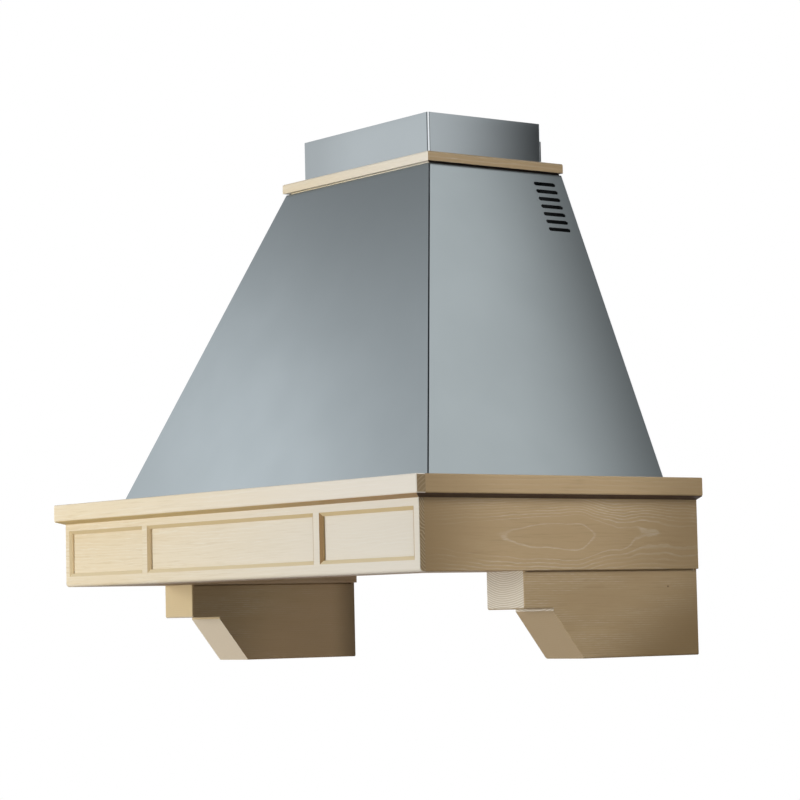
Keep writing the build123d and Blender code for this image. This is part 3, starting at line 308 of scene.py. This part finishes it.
def pin_knot(tree, axis, facing):
    """A small dark knot on the flank of a corbel."""
    squares = []
    for place, middle, size in ((axis.outputs[1], KNOT_Y, KNOT_WIDE),
                                (axis.outputs[2], KNOT_Z, KNOT_HIGH)):
        away = add(tree, "Math", [place, middle], operation="SUBTRACT")
        away = add(tree, "Math", [away, size], operation="DIVIDE")
        squares.append(add(tree, "Math", [away, away], operation="MULTIPLY"))
    near = add(tree, "Math", squares, operation="ADD")
    near = add(tree, "Math", [near], operation="SQRT")
    return add(tree, "MapRange", [near, 0.5, 1.0, 0.8, 0.0], **SMOOTH), linear("6B573C")


# what a board is cut and finished like where nothing else is said, with lengths in mm:
# wander_mm, wander_wide, swing_mm: how long and wide the heart line's wandering is, and how far
# skew, lean, bow_mm, bow_depth: how uneven the loops are along and across, how soon and how far
#     the heart line bows away
# crowd_from, wide_ring, tight_ring, first_ring: the radius where wide rings give way to tight
#     ones, the width of both, and a shift of the first
# wide_share, tight_share: how much of a wide and of a tight ring is early wood
# pore_long, pore_wide, worn, loose, liming: the pores, the share of wax left where it is worn,
#     the wax outside the early wood, and the strength of all wax
# streak, arc: the strength of the dark fibre, and of the rings on end grain
# ends_beyond: end grain is only shown this far out along the board
ASH = dict(wander_mm=160, wander_wide=46, swing_mm=9.0, skew=0.0, lean=0.0, bow_mm=900.0,
           bow_depth=30.0, crowd_from=0.0, wide_ring=5.0, tight_ring=5.0, first_ring=0.0,
           wide_share=0.45, tight_share=0.45, pore_long=24, pore_wide=1.0, worn=0.25, loose=0.22,
           liming=0.8, streak=0.35, arc=0.8, ends_beyond=-1.0, marks=())
CREAM = dict(field="E6D5B1", drift="EBDDBF", dark="D3C096", wax="F5EFE0", end="8B7758",
             end_wax="B3A384")
# the side pieces and the corbels are browner tans than the front's cream, partly as painted shade on
# their side faces
TAN = dict(field="C2A983", drift="CAB18A", dark="AE9571", wax="E4DAC4", end="9C8766",
           end_wax="CDC0A6")
CORBEL_TAN = dict(field="B8A07B", drift="C0A882", dark="A58D69", wax="DCD2BC", end="9C8766",
                  end_wax="CDC0A6")
# the front ends of the corbels are cream on the left and near white on the right, as painted light
BLOCK_ENDS = {"right": dict(end="CAC1AF", end_wax="EFEBE1", arc=0.85,
                            marks=(heel_painted_shade, pin_knot, slope_painted_light("B19E80"))),
              "left": dict(end="D0BD95", end_wax="DCCDAA", arc=0.35,
                           marks=(low_painted_light, wall_painted_shade, slope_painted_light("E0D5C0")))}
COVE = dict(field="C0A76F", drift="C8AF78", dark="B09860", wax="CDB888", end="A08054",
            end_wax="B49468", marks=(deeper_right,))
# the side coves: brown oil under a near black, which is painted shade
OILED_COVE_PAINTED_SHADE = dict(field="36261A", drift="3D2B1D", dark="2B1E14", wax="453222", end="33241A",
                 end_wax="3E2C1E")

FRONT_CREAM = dict(CREAM, field="E1D0AD", drift="E6D8BA", wax="F0EADA")
give(limed_ash("front_board_limed_ash", "x", "z", (-40, 190, -290), 3, **FRONT_CREAM,
               wide_ring=3.6, tight_ring=3.6, liming=0.52, loose=0.36, worn=0.3, swing_mm=22,
               wander_mm=240, pore_long=16, streak=0.55,
               ends_beyond=PANELS_HALF_WIDTH + PANEL_MARGIN,
               marks=(paler_right_painted_light("E8E6DF"), panel_painted_light_and_shade)), "front_board")
for side, name in ((1, "side_board_right"), (-1, "side_board_left")):
    give(limed_ash(name + "_limed_ash", "y", "z", (-224, -13, side * 440), 17 + 24 * (side < 0),
                   **TAN, skew=0.60, lean=0.13, bow_mm=60.0, bow_depth=24.0, crowd_from=32.0,
                   wide_ring=12.0, tight_ring=3.6, first_ring=-0.6, wide_share=0.18,
                   tight_share=0.5, swing_mm=11, wander_mm=80, liming=0.75, loose=0.12,
                   worn=0.22, streak=0.4, marks=(painted_shade_at_ends(0.60, 1.0),)), name)
give(limed_ash("nosing_front_limed_ash", "x", "z", (0, -60, -400), 7, **CREAM, liming=0.45,
               swing_mm=16, arc=0.3, marks=(paler_right_painted_light("EFEDE8"),)), "nosing_front")
give(limed_ash("cove_front_oiled_ash_painted_shade", "x", "z", (0, 0, -400), 9, **COVE), "cove_front")
for side, name in ((1, "right"), (-1, "left")):
    give(limed_ash(f"nosing_{name}_limed_ash", "y", "z", (-200, -60, side * 380), 23 + side,
                   **TAN, liming=0.16, loose=0.10, worn=0.1, swing_mm=6, wander_mm=320,
                   marks=(painted_shade_at_ends(0.45, 0.70),)), f"nosing_{name}")
    give(limed_ash(f"cove_{name}_oiled_ash_painted_shade", "y", "z", (-200, 0, side * 380), 27 + side,
                   **OILED_COVE_PAINTED_SHADE), f"cove_{name}")
    give(limed_ash(f"corbel_{name}_limed_ash", "y", "x", (-60, side * 405.5, 5), 31 + side,
                   **dict(CORBEL_TAN, **BLOCK_ENDS[name]), wide_ring=2.9, tight_ring=2.9, liming=0.5,
                   loose=0.25, swing_mm=5, pore_long=12, worn=0.1), f"corbel_{name}")
    give(limed_ash(f"collar_{name}_limed_ash", "y", "z", (-120, 500, side * 150), 51 + side,
                   **TAN, liming=0.3, marks=(rebate_painted_shade,)), f"collar_{name}")
    give(limed_ash(f"ledge_{name}_limed_ash", "y", "x", (-200, side * 400, -60), 61 + side,
                   **TAN, liming=0.4), f"ledge_{name}")
give(limed_ash("collar_front_limed_ash", "x", "z", (0, 500, -150), 57, **CREAM, liming=0.4,
               marks=(paler_right_painted_light("EFEDE8"),)), "collar_front", "collar_rear")
give(limed_ash("ledge_front_limed_ash", "x", "y", (0, -440, -60), 67, **CREAM, liming=0.4),
     "ledge_front")

# planed pine of the frame, with wide brown late wood and no wax
PINE = dict(field="B5997A", drift="C2A889", dark="A6896A", wax="A48666", end="A08465",
            end_wax="8A6E50", wide_share=0.8, tight_share=0.8, liming=0.6)
give(limed_ash("planed_pine_lengthwise", "x", "z", (0, 0, 20), 71, **PINE), "back_rail",
     "bottom_rail_front", "corner_blocks")
for side, name in ((1, "right"), (-1, "left")):
    give(limed_ash(f"planed_pine_rail_{name}", "y", "x", (0, side * 395, -90), 73 + side,
                   **PINE), f"bottom_rail_{name}")


# ---------------------------------------------------------------- metals and mouldings
def surface(name, colour, other, metallic, roughness, grain_mm, rough_spread=0.06, relief=0.02,
            patch_mm=60.0, patch_share=0.5, edges=(), **shader_inputs):
    """A made surface: two close tones in soft patches, and fine grain in gloss and relief.

    grain_mm is the size of the grain along X, Y and Z, so that long, thin grains are brushing
    and even ones are a moulded or sprayed texture.  Each of edges is a direction, a share and
    a colour for the faces that look that much along the direction.
    """
    made, tree = blank(name)
    place = add(tree, "TexCoord")
    mm = add(tree, "VectorMath", {0: place.outputs["Object"], "Scale": 1 / MM}, operation="SCALE")
    grain = add(tree, "VectorMath", [mm, [1 / g for g in grain_mm]], operation="MULTIPLY")
    fine = add(tree, "TexNoise", {"Vector": grain, "Scale": 1.0, "Detail": 3.0})
    patches = add(tree, "TexNoise", {"Vector": mm, "Scale": 1 / patch_mm, "Detail": 2.0})
    share = add(tree, "MapRange", [patches, 0.35, 0.65, 0.0, patch_share])
    tones = {MIX: share, MIX_A: linear(colour), MIX_B: linear(other)}
    tone = add(tree, "Mix", tones, **COLOURS).outputs[MIX_OUT]
    for direction, least, shade in edges:
        facing = add(tree, "VectorMath", [place.outputs["Normal"], direction],
                     operation="DOT_PRODUCT").outputs["Value"]
        facing = add(tree, "Math", [facing], operation="ABSOLUTE")
        there = add(tree, "Math", [facing, least], operation="GREATER_THAN")
        tones = {MIX: there, MIX_A: tone, MIX_B: linear(shade)}
        tone = add(tree, "Mix", tones, **COLOURS).outputs[MIX_OUT]
    both = add(tree, "Math", [fine, 0.7, patches], operation="MULTIPLY_ADD")
    rough = add(tree, "MapRange", [both, 0.5, 1.2, roughness - rough_spread,
                                   roughness + rough_spread])
    bump = add(tree, "Bump", {"Height": fine, "Strength": relief, "Distance": 0.2 * MM})
    inputs = {"Base Color": tone, "Metallic": metallic, "Roughness": rough, "Normal": bump}
    inputs.update(shader_inputs)
    shader = add(tree, "BsdfPrincipled", inputs)
    add(tree, "OutputMaterial", [shader])
    return made


EVEN = (0.6, 0.6, 0.6)
# brushed stainless sheet: a satin grain that runs up each sheet, drawn 3 mm wide on the canopy,
# and 8 mm wide and almost flat on the flue, so that light runs down it in clean bands
ENDLESS = 6000.0
CANOPY_GRAIN = 3.0
FLUE_GRAIN = 8.0
SATIN = dict(rough_spread=0.02, relief=0.008, patch_mm=90.0)
FLUE_SATIN = dict(rough_spread=0.008, relief=0.001, patch_mm=90.0)
# the slots of the side sheets and the hip seams of the front one have their cut edges painted dark,
# as painted shade; the flue's bends have a painted highlight in the middle and darker painted
# reflection on both sides
SCALE = "1B1D22"
for name, lean in (("canopy_left", 0.41), ("canopy_right", -0.41)):
    give(surface(name + "_satin_stainless_steel", "A9B2B5", "A5AEB1", 1.0, 0.30,
                 (ENDLESS, CANOPY_GRAIN, ENDLESS), edges=[((lean, 0.0, 0.91), 0.95, SCALE)], **SATIN),
         name)
give(surface("canopy_front_satin_stainless_steel", "A9B3B8", "A5AFB4", 1.0, 0.30,
             (CANOPY_GRAIN, ENDLESS, ENDLESS), edges=[((1.0, 0.0, 0.0), 0.68, SCALE)], **SATIN),
     "canopy_front")
# painted highlight down the middle of each bend and darker painted reflection on both sides of it
give(surface("flue_satin_stainless_steel", "B0B8BC", "ACB4B8", 1.0, 0.28,
             (FLUE_GRAIN, FLUE_GRAIN, ENDLESS), **FLUE_SATIN,
             edges=[((0.71, -0.71, 0.0), 0.76, "6E757A"), ((0.80, -0.60, 0.0), 0.95, "F0F4F6")]),
     "flue_lower", "flue_upper")
# rolled sheet, which blurs the lamps into soft patches
give(surface("liner_satin_stainless_steel", "A3A7A8", "989C9D", 1.0, 0.34, (60.0, 1.0, 1.0)),
     "liner_pan")
# hot-dipped, with small grey spangles
give(surface("zinc_coated_sheet", "A2A7AA", "AFB4B6", 1.0, 0.45, EVEN, patch_mm=9.0,
             patch_share=1.0), "blower_chamber", "chamber_roof", "flue_bracket", "impeller")
# dull black with a fine orange peel, as painted shade for the canopy's inside seen through the slots
give(surface("black_steel_painted_shade", "17181A", "1D1E20", 0.0, 0.55, EVEN, relief=0.10,
             IOR=1.5), "canopy_rear_bridge")
# extruded and anodised, pale with faint drawn lines
give(surface("anodised_aluminium_frame", "B9BCBE", "ACAFB1", 1.0, 0.38, (40.0, 0.8, 0.8)),
     "filter_frame_left", "filter_frame_right")
# plated, slightly yellow and half bright
give(surface("zinc_plated_screw", "B5B3A6", "A3A193", 1.0, 0.35, EVEN), "flange_screws",
     "corbel_screws")
# ground round, with close rings of light
give(surface("ground_steel", "A8A8AA", "98989A", 1.0, 0.25, (0.8, 20.0, 0.8)), "fan_shaft",
     "flap_pin")
# polished, so that it mirrors the studio
give(surface("polished_chrome", "CBCCCE", "C2C3C5", 1.0, 0.10, EVEN, relief=0.0), "lamp_rings")
# moulded plastics: spark-eroded grain that dulls the housings, smooth and glossy buttons
give(surface("moulded_black_abs", "1D1D1F", "232325", 0.0, 0.50, EVEN, relief=0.08, IOR=1.54),
     "switch_block", "lamp_housings", "scroll_front", "scroll_rear", "outlet_spigot",
     "filter_latch_left", "filter_latch_right", "control_trim")
give(surface("moulded_grey_abs", "4A4B4D", "505153", 0.0, 0.42, EVEN, relief=0.06, IOR=1.54),
     "flap_left", "flap_right", "cable_gland")
give(surface("gloss_grey_abs", "6A6C6E", "727476", 0.0, 0.22, EVEN, relief=0.02, IOR=1.54),
     "button_off", "button_low", "button_medium", "button_high", "button_light")
# dipped in enamel, thick and smooth
give(surface("motor_enamel", "2B2D2F", "323436", 0.0, 0.35, EVEN, relief=0.05, IOR=1.52), "motor")
# pressed and etched glass that scatters the lamp behind it
give(surface("frosted_lamp_glass", "E4E8E6", "DDE2E0", 0.0, 0.30, EVEN, relief=0.01, IOR=1.5,
             **{"Transmission Weight": 0.5}), "lamp_lenses")


def expanded_mesh(wide_mm, deep_mm):
    """Layers of expanded aluminium: bright strands round diamond holes of this size, painted dark as
    painted shade.
    """
    made, tree = blank("expanded_aluminium_mesh")
    place = add(tree, "TexCoord")
    axis = add(tree, "SeparateXYZ", [place.outputs["Object"]])
    across = add(tree, "Math", [axis.outputs[0], 2 * math.pi / (wide_mm * MM)], operation="MULTIPLY")
    deep = add(tree, "Math", [axis.outputs[1], 2 * math.pi / (deep_mm * MM)], operation="MULTIPLY")
    waves = []
    for operation in ("ADD", "SUBTRACT"):
        wave = add(tree, "Math", [across, deep], operation=operation)
        wave = add(tree, "Math", [wave], operation="SINE")
        waves.append(add(tree, "Math", [wave], operation="ABSOLUTE"))
    strand = add(tree, "Math", waves, operation="MAXIMUM")
    hole = add(tree, "MapRange", [strand, 0.80, 0.97, 1.0, 0.0], **SMOOTH)
    tones = {MIX: hole, MIX_A: linear("BEC1C3"), MIX_B: linear("3C3E40")}
    tone = add(tree, "Mix", tones, **COLOURS).outputs[MIX_OUT]
    bump = add(tree, "Bump", {"Height": strand, "Strength": 0.6, "Distance": 0.8 * MM})
    shader = add(tree, "BsdfPrincipled", {"Base Color": tone, "Metallic": 1.0, "Roughness": 0.4,
                                          "Normal": bump})
    add(tree, "OutputMaterial", [shader])
    return made


give(expanded_mesh(8, 5), "filter_meshes")


# ---------------------------------------------------------------- studio
def plane(name, corners):
    """A flat four-cornered sheet of the studio, which isn't part of the hood."""
    mesh = bpy.data.meshes.new(name)
    mesh.from_pydata(corners, [], [(0, 1, 2, 3)])
    made = bpy.data.objects.new(name, mesh)
    bpy.context.scene.collection.objects.link(made)
    return made


def floor_paint(glow):
    """Paint that is pale to the camera and in polished metal, with a glow of its own.

    It throws little light back up, so that undersides stay dark, and it has no underside
    itself, so that the hood can be looked at from below.
    """
    made, tree = blank("pale_floor_paint")
    speckle = add(tree, "TexNoise", {"Scale": 40.0})
    tones = {MIX: speckle, MIX_A: linear("D9D8D5"), MIX_B: linear("E0DFDC")}
    pale = add(tree, "Mix", tones, **COLOURS).outputs[MIX_OUT]
    rays = add(tree, "LightPath").outputs
    eye = add(tree, "Math", [rays["Is Camera Ray"], rays["Is Glossy Ray"]], operation="MAXIMUM")
    tones = {MIX: eye, MIX_A: linear("64503C"), MIX_B: pale}
    tone = add(tree, "Mix", tones, **COLOURS).outputs[MIX_OUT]
    strength = add(tree, "Math", [eye, glow], operation="MULTIPLY")
    shader = add(tree, "BsdfPrincipled", {
        "Base Color": tone, "Roughness": 0.8, "Emission Color": linear("E8E7E4"),
        "Emission Strength": strength})
    under = add(tree, "NewGeometry").outputs["Backfacing"]
    one_sided = add(tree, "MixShader", [under, shader, add(tree, "BsdfTransparent")])
    add(tree, "OutputMaterial", [one_sided])
    return made


FLOOR_Z = -1.5
FLOOR_REACH = 6.0
floor = plane("floor", [(-FLOOR_REACH, -FLOOR_REACH, FLOOR_Z), (FLOOR_REACH, -FLOOR_REACH, FLOOR_Z),
                        (FLOOR_REACH, FLOOR_REACH, FLOOR_Z), (-FLOOR_REACH, FLOOR_REACH, FLOOR_Z)])
floor.data.materials.append(floor_paint(0.42))


def graduated_card(name, corners, *grades):
    """A studio card that only metal sees, whose strength changes along some directions.

    Each grade is a direction, two places along it in metres and the strengths there.
    """
    card = plane(name, corners)
    for ray in ("camera", "diffuse", "transmission", "volume_scatter", "shadow"):
        setattr(card, "visible_" + ray, False)
    made, tree = blank(name + "_paper")
    place = add(tree, "TexCoord").outputs["Object"]
    strength = 1.0
    for along, *grade in grades:
        reach = add(tree, "VectorMath", [place, along], operation="DOT_PRODUCT").outputs["Value"]
        graded = add(tree, "MapRange", [reach, *grade], **SMOOTH)
        strength = add(tree, "Math", [graded, strength], operation="MULTIPLY")
    shader = add(tree, "Emission", {"Strength": strength})
    add(tree, "OutputMaterial", [shader])
    card.data.materials.append(made)


# parallel to the front sheet, in front of it: dimmer above, and on both sides of its middle,
# where the sides lean as the sheet's own edges do
LEANING = (1.0, 0.0, 0.82)
graduated_card("front_card", [(-3.2, -1.29, -0.3), (0.5, -1.10, -0.3), (0.5, -0.128, 2.3),
                              (-3.2, -0.43, 2.0)],
               ((0, 0, 1), 0.60, 1.20, 1.12, 0.43), (LEANING, -0.90, -0.60, 0.80, 1.20),
               (LEANING, -0.45, -0.05, 1.0, 0.53))
# parallel to the right-hand sheet, beside it: dim beyond the plane of the wall
graduated_card("side_card", [(0.768, -0.7, 0.0), (0.768, 1.2, 0.0), (0.148, 1.2, 1.4),
                             (0.148, -0.7, 1.4)], ((0, 1, 0), 0.10, 0.37, 1.0, 0.06))
# two small ones for the flue, close before its front and close beside it
FLUE_LOW = 0.552
FLUE_HIGH = 0.622
BEFORE_FLUE_Y = -0.258
BESIDE_FLUE_X = 0.19
graduated_card("flue_front_card", [(-0.24, BEFORE_FLUE_Y, FLUE_LOW), (0.15, BEFORE_FLUE_Y, FLUE_LOW),
                                   (0.15, BEFORE_FLUE_Y, FLUE_HIGH),
                                   (-0.24, BEFORE_FLUE_Y, FLUE_HIGH)],
               ((1, 0, 0), -0.20, -0.04, 0.84, 1.02))
graduated_card("flue_side_card", [(BESIDE_FLUE_X, -0.24, FLUE_LOW), (BESIDE_FLUE_X, 0.06, FLUE_LOW),
                                  (BESIDE_FLUE_X, 0.06, FLUE_HIGH),
                                  (BESIDE_FLUE_X, -0.24, FLUE_HIGH)],
               ((0, 1, 0), -0.22, 0.05, 0.85, 0.0))


def area_lamp(name, place, target, size, watts, colour):
    """A soft rectangular lamp that looks at a point."""
    data = bpy.data.lights.new(name, "AREA")
    data.shape = "RECTANGLE"
    data.size, data.size_y = size
    data.energy = watts
    data.color = colour
    lamp = bpy.data.objects.new(name, data)
    bpy.context.scene.collection.objects.link(lamp)
    lamp.location = place
    lamp.rotation_euler = (Vector(target) - Vector(place)).to_track_quat("-Z", "Y").to_euler()
    lamp.visible_glossy = False
    lamp.visible_camera = False
    return lamp


HOOD_MIDDLE = (0.0, -0.25, 0.2)
BASE_SIDE = (0.45, -0.25, 0.05)
area_lamp("key_lamp", (-2.4, -4.5, -0.2), HOOD_MIDDLE, (2.6, 2.0), 198.0, (1.0, 0.99, 0.97))
area_lamp("side_lamp", (1.15, -0.42, 0.60), BASE_SIDE, (0.5, 0.5), 3.5, (1.0, 0.97, 0.92))
area_lamp("low_lamp", (2.2, -1.0, -0.75), BASE_SIDE, (1.0, 1.0), 9.0, (1.0, 0.96, 0.90))
area_lamp("rear_lamp", (-1.2, 3.6, 1.0), HOOD_MIDDLE, (2.4, 2.0), 70.0, (1.0, 0.99, 0.97))


def studio_world(below, above):
    """A white studio to the camera and in polished things, and soft grey air to all else.

    The air's light grows from below to above a little under the horizon.
    """
    made = bpy.data.worlds.new("studio")
    made.use_nodes = True
    tree = made.node_tree
    tree.nodes.clear()
    rays = add(tree, "LightPath").outputs
    seen = add(tree, "Math", [rays["Is Camera Ray"], rays["Is Glossy Ray"]], operation="MAXIMUM")
    seen = add(tree, "Math", [seen, rays["Is Transmission Ray"]], operation="MAXIMUM")
    backdrop = add(tree, "Background", {"Color": linear("FFFFFF"), "Strength": 1.0})
    place = add(tree, "TexCoord").outputs["Generated"]
    sky = add(tree, "SeparateXYZ", [place])
    strength = add(tree, "MapRange", [sky.outputs[2], -0.45, 0.05, below, above], **SMOOTH)
    air = add(tree, "Background", {"Color": linear("EEF0F2"), "Strength": strength})
    add(tree, "OutputWorld", [add(tree, "MixShader", [seen, air, backdrop])])
    return made


bpy.context.scene.world = studio_world(0.02, 0.22)

# ---------------------------------------------------------------- camera
# a long lens a little below the hood, on its right-hand side, looking slightly up, as fitted to
# the corners of the photograph
CAMERA_PLACE = (3.34228, -2.69436, -0.11906)
LENS_MM = 126.94
SENSOR_MM = 36.0
AZIMUTH = math.radians(52.98)
ELEVATION = math.radians(-4.42)
ROLL = math.radians(-1.29)
ahead = Vector((-math.sin(AZIMUTH) * math.cos(ELEVATION), math.cos(AZIMUTH) * math.cos(ELEVATION),
                -math.sin(ELEVATION)))
level = Vector((math.cos(AZIMUTH), math.sin(AZIMUTH), 0.0))
upward = level.cross(ahead)
right = math.cos(ROLL) * level + math.sin(ROLL) * upward
top = -math.sin(ROLL) * level + math.cos(ROLL) * upward
camera = bpy.data.objects.new("camera", bpy.data.cameras.new("camera"))
bpy.context.scene.collection.objects.link(camera)
camera.data.lens = LENS_MM
camera.data.sensor_width = SENSOR_MM
turn = Matrix((right, top, -ahead)).transposed().to_4x4()
camera.matrix_world = Matrix.Translation(CAMERA_PLACE) @ turn
bpy.context.scene.camera = camera
bpy.context.scene.view_settings.view_transform = "Standard"
